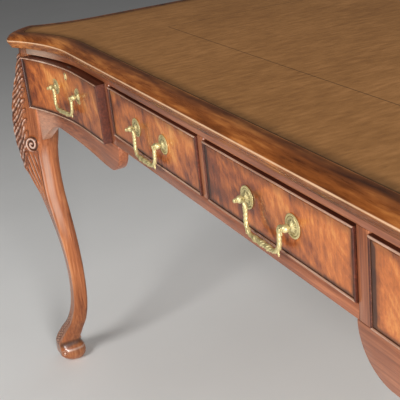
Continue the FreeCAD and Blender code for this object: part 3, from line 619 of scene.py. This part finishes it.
def make_front(kind):
    """A drawer front with its cockbead, drawn flat; an end drawer's front is then bowed to the hollow side."""
    low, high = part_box(f"back_right_{kind}_drawer_face")
    front = FACE + PROUD[kind]
    low.y, high.y = front - FRONT_THICKNESS, front
    piece = block(f"{kind}_front", low, high)
    with bench(piece):
        choose(piece, "FACE", lambda face: face.normal.y > 0.9)
        step_in(FRONT_STEPS)
        choose(piece, "FACE", lambda face: face.normal.y > 0.9 and face.calc_center_median().y > front - WELD
               and ring_gap(face.calc_center_median(), low, high) < BEAD_WIDTH)
        bpy.ops.mesh.extrude_region_move(TRANSFORM_OT_translate={"value": (0, BEAD_STAND, 0)})
        stand = front + BEAD_STAND - WELD
        choose(piece, "EDGE", lambda edge: all(point.co.y > stand for point in edge.verts)
               and edge.is_manifold and edge.calc_face_angle() > 0.5)
        bpy.ops.mesh.bevel(offset=BEAD_ROUND, segments=4, affect="EDGES")
    cut_across(piece, (1, 0, 0), low.x, high.x, FRONT_CUTS[0])
    cut_across(piece, (0, 0, 1), low.z, high.z, FRONT_CUTS[1])
    coat(piece, FLAME, BEAD_WOOD, EDGE_WOOD)
    # Top and bottom beads take the pale bead wood as a painted highlight; the upright beads and the edges take the
    # dark edge wood, painted shade on the upright beads and top edges
    for face in piece.data.polygons:
        gap = ring_gap(face.center, low, high)
        beside = gap < WELD and face.center.y < front - 0.0005 or face.normal.y < -0.9
        upright = min(face.center.x - low.x, high.x - face.center.x) < BEAD_WIDTH
        face.material_index = 2 if beside or (upright and gap < BEAD_WIDTH) else int(gap < BEAD_WIDTH + 0.0001)
    if kind == "end":
        for point in piece.data.vertices:
            point.co.y = hollow(point.co.x, point.co.y - FACE)
        cut_bolt_slot(piece, high.z)
    smooth(piece)
    return piece


def cut_bolt_slot(piece, edge):
    """Cut the slot in a front's top edge through which the lock's bolt rises."""
    low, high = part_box("back_right_lock_bolt")
    low, high = low - BOLT_PLAY, high + BOLT_PLAY
    high.z = edge + 0.01
    slot = block("bolt_slot", low, high)
    coat(slot, FLAME, BEAD_WOOD, EDGE_WOOD)
    for face in slot.data.polygons:
        face.material_index = 2
    apply_modifier(piece, "BOOLEAN", operation="DIFFERENCE", solver="EXACT", object=slot)
    bpy.data.objects.remove(slot)


def ring_gap(place, low, high):
    """Distance from a place to the nearest edge of a drawer front."""
    return min(place.x - low.x, high.x - place.x, place.z - low.z, high.z - place.z)


def bead_painted_shade(point, low, high, left):
    """Painted shade beside the bead, darkest at the front's left end."""
    if ring_gap(point, low, high) < BEAD_WIDTH - WELD:
        return 0.0
    ends = (point.x - low.x, high.x - point.x)
    near, far = ends if left < 0 else reversed(ends)
    gaps = {"near": near, "far": far, "top": high.z - point.z, "bottom": point.z - low.z}
    return max(strength * (1.0 - fade(gaps[side], start, stop)) for side, strength, start, stop in BEAD_SHADE_BANDS)


def make_fronts():
    for kind in KINDS:
        for quarter, piece in quarter_copies(make_front(kind), f"{kind}_front"):
            node = f"{quarter}_{kind}_drawer_face"
            side = -1 if quarter.startswith("front") else 1
            piece.data.transform(Matrix.Translation((0, side * AJAR.get(f"{quarter}_{kind}", 0), 0)))
            low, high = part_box(node)
            # Painted shade beside the bead
            levels = [bead_painted_shade(point.co, low, high, side) for point in piece.data.vertices]
            set_levels(piece, "glaze", levels)
            settle(piece, f"{quarter}_{kind}_drawer", "figured_veneer", node)


def make_locks():
    """Locks with a raised rim round the keyhole's plate."""
    for quarter, x, y in QUARTERS:
        piece = cad_copy(f"{quarter}_keyhole", f"{quarter}_drawer_lock")
        with bench(piece):
            plate = max(y * point.co.y for point in piece.data.vertices) - WELD
            choose(piece, "FACE", lambda face: y * face.calc_center_median().y > plate)
            bpy.ops.mesh.inset(thickness=RIM_WIDTH, depth=0)
            bpy.ops.mesh.inset(thickness=RIM_SLOPE, depth=-PLATE_DEPTH)
        smooth(piece)
        coat(piece, BRASS, EDGE_WOOD)
        for face in piece.data.polygons:
            sunk = abs(y * face.center.y - plate + PLATE_DEPTH) < 0.0002
            face.material_index = int(sunk and abs(face.normal.y) > 0.9)
        settle(piece, f"{quarter}_end_drawer", "brass", f"{quarter}_drawer_lock")


# Bail pulls, drawn about the middle of the bail's pin line

ROSETTE = [(14.4, -10.5), (15.0, -10.0), (15.0, -9.2), (14.4, -8.4), (13.5, -8.1), (12.6, -8.5), (12.1, -9.4),
           (11.6, -9.5), (11.0, -8.8), (10.2, -8.5), (9.4, -8.9), (8.6, -9.2), (7.0, -8.7), (5.8, -7.7), (5.2, -6.9),
           (4.9, -6.3), (3.9, -5.9), (3.1, -5.3), (3.0, -4.2), (4.2, -2.8), (4.9, -1.2), (5.0, 0.0), (4.9, 1.2),
           (4.2, 2.8), (3.0, 4.2), (2.3, 4.7), (2.2, 5.1), (3.0, 5.4), (3.2, 5.9), (2.8, 6.4), (1.9, 6.6), (1.7, 6.9),
           (2.4, 7.4), (2.7, 8.0), (2.3, 8.7), (1.2, 9.1), (0.4, 9.2)]
ROSETTE_SIDES = 64
POST_X = 0.052
# Sizes of the bail in millimetres, apart from its bow in metres
PIN_END = 56.5
SHOULDER_BEND = 6.0
STRAND_X = 39.0
CORNER_BEND = 15.0
BAR_LEVEL = -37.5
BAIL_DROP = 36.5
BAIL_BOW = 0.0020
# Spurs of the bail's right half: places in millimetres, and thickness at the root
SPURS = [([(33, -31), (35.5, -34), (37.3, -37), (37.8, -39.5)], 2.6),
         ([(39, -10), (42, -8), (44, -9), (44.5, -11.5)], 1.7)]


def make_plates():
    post = turn("pull_post", ROSETTE, ROSETTE_SIDES)
    with bench(post):
        # Beads round the rim, then leaves round the boss
        choose(post, "VERT", lambda point: 0.0125 < math.hypot(point.co.x, point.co.z) < 0.0147
               and point.co.y > -0.0090 and rim_step(point.co) % 2)
        bpy.ops.transform.translate(value=(0, -0.0009, 0))
        choose(post, "VERT", lambda point: 0.0055 < math.hypot(point.co.x, point.co.z) < 0.0090
               and point.co.y < -0.0070 and rim_step(point.co) % 8 < 2)
        bpy.ops.transform.translate(value=(0, 0.0006, 0))
    smooth(post, 50)
    other = copied("other_post", post, Matrix.Translation((-POST_X, 0, 0)))
    post.data.transform(Matrix.Translation((POST_X, 0, 0)))
    return joined("pull_plates", [post, other])


def rim_step(place):
    return round(math.atan2(place.z, place.x) / (2 * math.pi) * ROSETTE_SIDES)


def joined(name, parts):
    bpy.ops.object.select_all(action="DESELECT")
    for part in parts:
        part.select_set(True)
    bpy.context.view_layer.objects.active = parts[0]
    bpy.ops.object.join()
    parts[0].name = name
    return parts[0]


def bail_path():
    """Places along the right half of the bail, from its pin to its middle, in millimetres."""
    places = [(PIN_END - 0.5 * step, 0.0) for step in range(23)]
    for turn_ in [math.radians(15 * step) for step in range(1, 7)]:
        places.append((STRAND_X + SHOULDER_BEND * (1 - math.sin(turn_)), SHOULDER_BEND * (math.cos(turn_) - 1)))
    places += [(STRAND_X, -SHOULDER_BEND - step) for step in range(1, 17)]
    for turn_ in [math.radians(5 * step) for step in range(1, 19)]:
        places.append((STRAND_X - CORNER_BEND * (1 - math.cos(turn_)),
                       BAR_LEVEL + CORNER_BEND * (1 - math.sin(turn_))))
    places += [(STRAND_X - CORNER_BEND - step, BAR_LEVEL) for step in range(1, 25)]
    return places


def bail_thickness(x, z):
    """Radius of the bail in millimetres at a place, with rope on its strands and a leafy swelling on its bar."""
    if z > -1:
        return 2.3
    collar = 0.6 * max(1 - abs(z + 6) / 2.5, 0)
    leaf = max(1 - abs(x - middle) / reach for middle, reach in ((0, 10), (15, 7)))
    return 2.9 + collar + (1.5 * max(leaf, 0) ** 0.7 if z < -24 else 0)


def wire(name, places, sizes, tilts):
    """A bent wire with four lobes across it, from places in millimetres, bowed out towards its bottom."""
    ring = bpy.data.curves.new("wire_section", "CURVE")
    section = ring.splines.new("POLY")
    section.points.add(15)
    for index, point in enumerate(section.points):
        angle = 2 * math.pi * index / 16
        radius = 0.001 * (1 + 0.10 * math.cos(4 * angle))
        point.co = (radius * math.cos(angle), radius * math.sin(angle), 0, 1)
    section.use_cyclic_u = True
    section_object = lone("wire_section", ring)
    curve = bpy.data.curves.new(name, "CURVE")
    curve.dimensions = "3D"
    curve.bevel_mode = "OBJECT"
    curve.bevel_object = section_object
    curve.use_fill_caps = True
    line = curve.splines.new("POLY")
    line.points.add(len(places) - 1)
    for point, (x, z), size, tilt in zip(line.points, places, sizes, tilts):
        point.co = (x / 1000, BAIL_BOW * max(-z / BAIL_DROP, 0) ** 1.3, z / 1000, 1)
        point.radius = size
        point.tilt = tilt
    lone(name, curve)
    bpy.ops.object.convert(target="MESH")
    piece = bpy.context.object
    bpy.data.objects.remove(section_object)
    with bench(piece):
        bpy.ops.mesh.select_all(action="SELECT")
        bpy.ops.mesh.remove_doubles(threshold=WELD)
        bpy.ops.mesh.normals_make_consistent(inside=False)
    return piece


def make_bail():
    """Bent wire of rope and leaf, from pin to pin, with a spur at each lower corner and a leaf beside each pin."""
    half = bail_path()
    places = half + [(-x, z) for x, z in reversed(half[:-1])]
    sizes = [bail_thickness(abs(x), z) for x, z in places]
    tilts = [0.3 * min(index, len(places) - 1 - index) for index in range(len(places))]
    parts = [wire("bail", places, sizes, tilts)]
    for side in (-1, 1):
        for path, thick in SPURS:
            spur = [(side * x, z) for x, z in path]
            sizes = [thick * (1 - 0.22 * step) for step in range(len(spur))]
            parts.append(wire("spur", spur, sizes, [0.0] * len(spur)))
    bail = joined("bail", parts)
    smooth(bail, 60)
    return bail


def pull_matrix(joint):
    """Where a pull goes: its pin line and the way out, from the bail's joint."""
    along = Vector(joint["axis"]).normalized()
    out = Vector((-along.y, along.x, 0))
    matrix = Matrix((along, out, Vector((0, 0, 1)))).transposed().to_4x4()
    matrix.translation = Vector(joint["pos_m"])
    return matrix


def make_pulls():
    plates, bail = make_plates(), make_bail()
    for piece in (plates, bail):
        coat(piece, BRASS)
    for joint in frame["joints"]:
        if not joint["name"].endswith("_swing"):
            continue
        where = pull_matrix(joint)
        name = joint["child"].removesuffix("_bail")
        settle(copied(f"{name}_rosettes", plates, where), joint["parent"], "brass", f"{name}_pull_plates")
        settle(copied(f"{name}_handle", bail, where), joint["child"], "brass", f"{name}_pull_bail")
    for piece in (plates, bail):
        bpy.data.objects.remove(piece)


# Carved cabriole legs

# Sizes of the leg in millimetres
LEG_HEIGHT = 746.0
LEG_REACH = 80.0
LEG_LIMIT = 80.4
KNEE_START = 380
FOOT_STOP = 135
# Height as a share of the leg, then the outer corner, inner corner and ridges as shares of the reach
LEG_PROFILE = [
    (0.000, 0.82, 0.42, 0.78), (0.014, 0.955, 0.35, 0.91), (0.038, 1.00, 0.33, 1.00), (0.064, 0.99, 0.36, 0.99),
    (0.100, 0.84, 0.28, 0.84), (0.142, 0.62, 0.15, 0.62), (0.200, 0.48, 0.06, 0.48), (0.288, 0.42, 0.02, 0.42),
    (0.389, 0.465, 0.03, 0.46), (0.483, 0.585, 0.075, 0.56), (0.563, 0.73, 0.118, 0.636), (0.630, 0.89, 0.122, 0.642),
    (0.690, 0.97, 0.085, 0.65), (0.750, 0.99, 0.0, 0.59), (0.831, 0.91, 0.0, 0.555), (0.912, 0.73, 0.0, 0.53),
    (1.000, 0.55, 0.0, 0.50),
]
# Levels of the leg's rings, closest at the foot and the knee, in millimetres
LEG_LEVELS = [1.8 * step for step in range(70)] + [126 + 5.0 * step for step in range(50)] + \
             [376 + 1.8 * step for step in range(205)] + [LEG_HEIGHT]
# Half width of the knee's leaf by height, both in millimetres
LEAF_WIDTH = [(455, 0), (480, 14), (505, 26), (535, 40), (560, 47), (590, 45), (625, 40), (665, 33), (700, 24),
              (722, 15)]
# Volute below the knee: distance before the ridge, height, half sizes across and up, turns and rise
VOLUTE_BEFORE, VOLUTE_HEIGHT = 21, 535
VOLUTE_HALF = (21, 17)
VOLUTE_TURNS = 1.8
VOLUTE_RISE = 6.0
# Beads of the foot: distances of their rows from the outer corner, pitch and radius
FOOT_BEAD_ROWS = (4.0, 11.0, 18.0, 25.0, 32.0, 39.0)
FOOT_BEAD_PITCH = 7
FOOT_BEAD_RADIUS = 3.4


def along_profile(share, column):
    """A side of the leg at a share of its height, on a smooth line through the profile, in millimetres."""
    rows = LEG_PROFILE
    index = max(i for i in range(len(rows) - 1) if rows[i][0] <= share)
    def slope(i):
        before, after = rows[max(i - 1, 0)], rows[min(i + 1, len(rows) - 1)]
        return (after[column] - before[column]) / (after[0] - before[0])
    start, stop = rows[index], rows[index + 1]
    span = stop[0] - start[0]
    t = (share - start[0]) / span
    return ((2 * t ** 3 - 3 * t ** 2 + 1) * start[column] + (t ** 3 - 2 * t ** 2 + t) * span * slope(index)
            + (3 * t ** 2 - 2 * t ** 3) * stop[column] + (t ** 3 - t ** 2) * span * slope(index + 1)) * LEG_REACH


def rounded(before, corner, after, take, cuts):
    """Points round a corner, from a length before it to the same length after it."""
    way_in, way_out = (corner - before).normalized(), (after - corner).normalized()
    first, last = corner - way_in * take, corner + way_out * take
    points = []
    for step in range(cuts + 1):
        t = step / cuts
        points.append(first.lerp(corner, t).lerp(corner.lerp(last, t), t))
    return points


def leg_half(height):
    """Points across half the leg, from its outer corner past a ridge to its inner corner, and the ridge's index."""
    share = min(height / LEG_HEIGHT, 1 - 1e-9)
    outer, inner, ridge = (along_profile(share, column) for column in (1, 2, 3))
    width = outer - inner
    sharpened = 0.34 * ((ridge - inner) / width) ** 3
    corners = [Vector(place) for place in
               ((ridge, inner), (outer, outer), (inner, ridge), (inner, inner), (ridge, inner))]
    nose = rounded(*corners[0:3], width * sharpened, 8)[4:]
    brow = rounded(*corners[1:4], width * (0.24 - 0.17 * fade(height, 25, 95)), 6)
    heel = rounded(*corners[2:5], width * 0.22, 6)[:4]
    def run(start, stop, cuts):
        return [start.lerp(stop, step / cuts) for step in range(1, cuts)]
    points = nose + run(nose[-1], brow[0], 44) + brow + run(brow[-1], heel[0], 10) + heel
    return points, len(nose) + 43 + 3


def leg_ring(height):
    """Points round the leg, each with its distance from the outer corner and past the ridge, in millimetres."""
    half, ridge = leg_half(height)
    lengths = [0.0]
    for start, stop in zip(half, half[1:]):
        lengths.append(lengths[-1] + (stop - start).length)
    rows = [(point, length, length - lengths[ridge]) for point, length in zip(half, lengths)]
    return rows + [(Vector((point.y, point.x)), length, past) for point, length, past in reversed(rows[1:-1])]


def scroll(across, up, turns):
    """A volute's height, 0 to 1, and its shadow at a place within a circle of radius 1."""
    radius = math.hypot(across, up)
    if radius > 1.08:
        return 0.0, 0.0
    wave = 0.5 + 0.5 * math.cos(2 * math.pi * (radius * turns - math.atan2(up, across) / (2 * math.pi)))
    body = 1 - fade(radius, 0.9, 1.08)
    return body * (0.4 + 0.6 * wave), (1 - wave) * body


def face_lustre(height, past):
    """Painted highlight: the pale strip down the middle of a leg's inner face."""
    return 0.42 * fade(past, 1, 6) * fade(past, 27, 14) * fade(height, 230, 400) * fade(height, 570, 500)


def knee_carving(height, beside, past):
    """Height of the knee's carving over its ground in millimetres, its painted shade and its painted highlight."""
    half_width = between(LEAF_WIDTH, height)
    lobe = (height - 1.2 * beside) / 27 + 0.3 * noise.noise(Vector((height / 40, beside / 25, 3.0)))
    share = lobe - math.floor(lobe)
    swell = math.sin(math.pi * share)
    edge = half_width * (0.70 + 0.30 * swell ** 0.7)
    inside = (1 - fade(beside, edge - 4.0, edge)) * fade(height, 455, 475) * fade(height, 724, 716)
    stroke = abs(math.sin(2 * math.pi * share + 0.5))
    rib = 1 - fade(beside, 2.0, 6.0)
    leaf = inside * max(1.0 + 1.8 * swell ** 0.6 + 1.7 * stroke, (3.0 + 1.3 * swell) * rib)
    ground = (1 - inside) * (1 - fade(beside, edge, edge + 5)) * fade(half_width, 0, 8)
    rough = 0.5 + 0.5 * noise.noise(Vector((height, 1.4 * beside, 0)) / 9)
    # Painted shade in the leaf's hollows and on its ground; painted highlight on its strokes
    glaze = max(inside * (1 - stroke ** 0.6) * 1.3 * (1 - rib), inside * (1 - swell ** 0.5) * 1.2, 0.7 * ground,
                inside * (0.85 - rough))
    wear = inside * stroke ** 2 * (rough * 1.6 - 0.25)
    body, shadow = scroll((past + VOLUTE_BEFORE) / VOLUTE_HALF[0], (height - VOLUTE_HEIGHT) / VOLUTE_HALF[1],
                          VOLUTE_TURNS)
    rise = max(leaf, VOLUTE_RISE * body)
    # Painted shade and painted highlight of the volute
    glaze = max(glaze * (1 - fade(body, 0, 0.3)), shadow * 1.1)
    wear = max(wear * (1 - fade(body, 0, 0.3)), 1.0 * fade(body, 0.65, 0.95))
    # Painted shade in the crease and the flute's hollows, and painted highlight on the flutes and down the ridge
    crease = math.exp(-((past + 7.0) / 2.4) ** 2) * fade(height, 385, 430) * fade(height, 528, 515)
    flute = math.sin(0.42 * beside + height / 17) * fade(height, 410, 440) * fade(height, 522, 505) \
        * fade(past, -9, -14) * (1 - inside)
    wear = max(wear, 0.4 * math.exp(-(past / 2.5) ** 2) * fade(height, 535, 505), 0.5 * fade(flute, 0.4, 1.0))
    # Painted shade towards the inner corner and up towards the apron
    painted_face_shade = max(0.6 * fade(past, 4, 30) * fade(height, 480, 560), 0.42 * fade(past, 14, 34))
    wear = max(wear, face_lustre(height, past))
    return rise - 2.4 * crease + 1.0 * flute, max(glaze, crease, painted_face_shade, 0.7 * fade(flute, -0.4, -1.0)), wear


def foot_carving(height, beside, past):
    """Height of the foot's beads and cushion over its ground in millimetres, its painted shade and its painted
    highlight.
    """
    row = min(FOOT_BEAD_ROWS, key=lambda place: abs(beside - place))
    step = height / FOOT_BEAD_PITCH + (0.5 if round(row / FOOT_BEAD_PITCH) % 2 else 0.0)
    away = math.hypot(beside - row, (step - math.floor(step) - 0.5) * FOOT_BEAD_PITCH)
    zone = fade(height, 26, 34) * fade(height, 134, 112) * (1 - fade(past, -14, -9))
    bead = math.sqrt(max(1 - (away / FOOT_BEAD_RADIUS) ** 2, 0))
    cushion = 3.4 * math.exp(-((height - 21) / 13) ** 2) - 1.0 * max(1 - height / 13, 0) ** 2
    belly = 2.6 * math.sin(math.pi * min(max(past / 50, 0), 1)) * fade(height, 52, 28)
    neck = math.exp(-((height - 50) / 9.0) ** 2) * fade(past, -12, -2)
    # Painted shade above the cushion; painted highlight on its shoulder and down the ridge
    shade = math.exp(-((height - 46) / 11.0) ** 2) * fade(past, -12, -2)
    lustre = 0.8 * math.exp(-((height - 31) / 3.0) ** 2) * fade(past, -6, 4)
    edge = 0.5 * math.exp(-((past + 6) / 3.0) ** 2) * fade(height, 45, 65)
    # Painted shade over the whole foot, darker towards the inner corner
    painted_face_shade = 0.38 + 0.15 * fade(past, 14, 34)
    rise = zone * (1.6 * bead - 1.0) + cushion + belly - 1.6 * neck
    # Painted shade between the beads and a painted highlight on their tops
    return rise, max(zone * (1 - bead) * 1.1, 0.85 * shade, painted_face_shade), max(zone * bead ** 2 * 0.9, 0.9 * lustre, edge)


# Turned button of the foot, in millimetres, its place in metres and its turn in degrees
FOOT_BUTTON = [(6.1, -3.0), (6.1, 1.2), (5.6, 1.9), (5.0, 1.7), (4.3, 0.9), (3.7, 0.9), (3.2, 1.7), (2.2, 2.5),
               (1.1, 2.9), (0.3, 3.0)]
BUTTON_PLACE = (0.0238, 0.0738, 0.0290)
BUTTON_TURN = 60


def shank_shade_and_highlight(height, past):
    """Painted shade and painted highlight of the plain part of a leg: darker towards the foot and the inner corner,
    paler down the ridge and the inner face.
    """
    glaze = max(0.38 * fade(height, 330, 150), 0.42 * fade(past, 12, 30))
    return glaze, max(0.4 * math.exp(-((past + 1) / 2.5) ** 2), face_lustre(height, past))


def make_legs():
    rows = [leg_ring(height) for height in LEG_LEVELS]
    leg, order = drawn_up("leg", [[(point.x / 1000, point.y / 1000, height / 1000) for point, beside, past in row]
                                  for row, height in zip(rows, LEG_LEVELS)])
    painted_shades, painted_highlights = [], []
    normals = [point.normal.copy() for point in leg.data.vertices]
    places = [(LEG_LEVELS[ring], *rows[ring][step][1:]) for ring, step in order]
    for point, normal, place in zip(leg.data.vertices, normals, places):
        height, beside, past = place
        rise, (glaze, wear) = 0.0, shank_shade_and_highlight(height, past)
        if height > KNEE_START:
            rise, glaze, wear = knee_carving(*place)
            rise -= 2.2 * fade(height, 455, 500) * fade(height, 735, 720) * fade(past, 0, -8)
        elif height < FOOT_STOP:
            rise, glaze, wear = foot_carving(*place)
        painted_shades.append(min(glaze, 1.0))
        painted_highlights.append(min(wear, 1.0))
        moved = point.co + normal * rise / 1000
        point.co = (min(moved.x, LEG_LIMIT / 1000), min(moved.y, LEG_LIMIT / 1000), max(moved.z, 0.0))
    # Levels of painted shade and painted highlight
    set_levels(leg, "glaze", painted_shades)
    set_levels(leg, "wear", painted_highlights)
    smooth(leg, 55)
    button = turn("foot_button", FOOT_BUTTON, 32)
    smooth(button, 40)
    rims = [math.hypot(point.co.x, point.co.z) * 1000 for point in button.data.vertices]
    # Painted shade in a ring round the button, and a painted highlight on its centre and rim
    set_levels(button, "glaze", [math.exp(-((rim - 4) / 0.7) ** 2) for rim in rims])
    set_levels(button, "wear", [0.9 * fade(rim, 3.4, 1.6) + 0.5 * fade(rim, 4.6, 5.3) for rim in rims])
    x, y, z = BUTTON_PLACE
    turned = Matrix.Rotation(math.radians(BUTTON_TURN), 4, "Z")
    turned_back = Matrix.Rotation(math.radians(-90 - BUTTON_TURN), 4, "Z")
    other = copied("other_button", button, Matrix.Translation((y, x, z)) @ turned_back)
    button.data.transform(Matrix.Translation((x, y, z)) @ turned)
    leg = joined("leg", [leg, button, other])
    leg.data.transform(Matrix.Translation((LEG_INNER, FACE, 0)))
    coat(leg, LEG_WOOD)
    for quarter, piece in quarter_copies(leg, "carved_leg"):
        settle(piece, "carcass", "mahogany", f"{quarter}_leg")


# Rest of the CAD nodes, which keep their shape

def coat_cad_nodes():
    for name, node in frame["nodes"].items():
        if node.hide_render:
            continue
        if name.endswith("lock_bolt"):
            coat(node, STEEL)
        elif name.endswith("drawer_lock"):
            coat(node, BRASS)
        else:
            coat(node, LINING_WOOD)


# Floor, light and camera

WORLD_LIGHT = 0.12
# Lamps: name, place, the point that each is aimed at, size and power
LAMPS = [("key_softbox", (0.6, -2.8, 2.6), (-0.3, -0.3, 0.6), 1.2, 66),
         ("side_softbox", (2.8, -1.0, 0.95), (-0.6, -0.4, 0.5), 1.0, 112),
         ("overhead_softbox", (-0.4, 0.5, 3.0), (-0.2, 0.0, 0.7), 1.8, 16)]
CAMERA_PLACE = (0.973, -0.864, 1.085)
CAMERA_TURN = (67.0204, 5.9873, 63.9039)
CAMERA_LENS = 77.32


def make_stage():
    bpy.ops.object.select_all(action="DESELECT")
    bpy.ops.mesh.primitive_plane_add(size=40)
    floor = bpy.context.object
    floor.name = "floor"
    material, place = new_finish("pale_floor")
    cloud = place.noise((3.0, 3.0, 3.0))
    surface(place, (cloud, 0.0002), Base_Color=cloud.mixed(tint(226, 225, 222), tint(234, 233, 230)),
            Roughness=0.7)
    coat(floor, material)
    world = bpy.data.worlds.new("studio")
    world.use_nodes = True
    world.node_tree.nodes["Background"].inputs["Color"].default_value = tint(236, 236, 238)
    world.node_tree.nodes["Background"].inputs["Strength"].default_value = WORLD_LIGHT
    bpy.context.scene.world = world
    for name, place, aim, size, power in LAMPS:
        light = bpy.data.lights.new(name, "AREA")
        light.shape = "SQUARE"
        light.size = size
        light.energy = power
        lamp = bpy.data.objects.new(name, light)
        lamp.location = place
        lamp.rotation_euler = (Vector(aim) - Vector(place)).to_track_quat("-Z", "Y").to_euler()
        bpy.context.scene.collection.objects.link(lamp)


def make_camera():
    lens = bpy.data.cameras.new("camera")
    lens.lens = CAMERA_LENS
    lens.sensor_width = 36
    camera = bpy.data.objects.new("camera", lens)
    camera.location = CAMERA_PLACE
    camera.rotation_euler = [math.radians(angle) for angle in CAMERA_TURN]
    bpy.context.scene.collection.objects.link(camera)
    bpy.context.scene.camera = camera


make_camera()
make_stage()
eased_boards()
make_top()
make_fronts()
make_locks()
make_pulls()
make_legs()
coat_cad_nodes()
bpy.context.scene.view_settings.view_transform = "Standard"
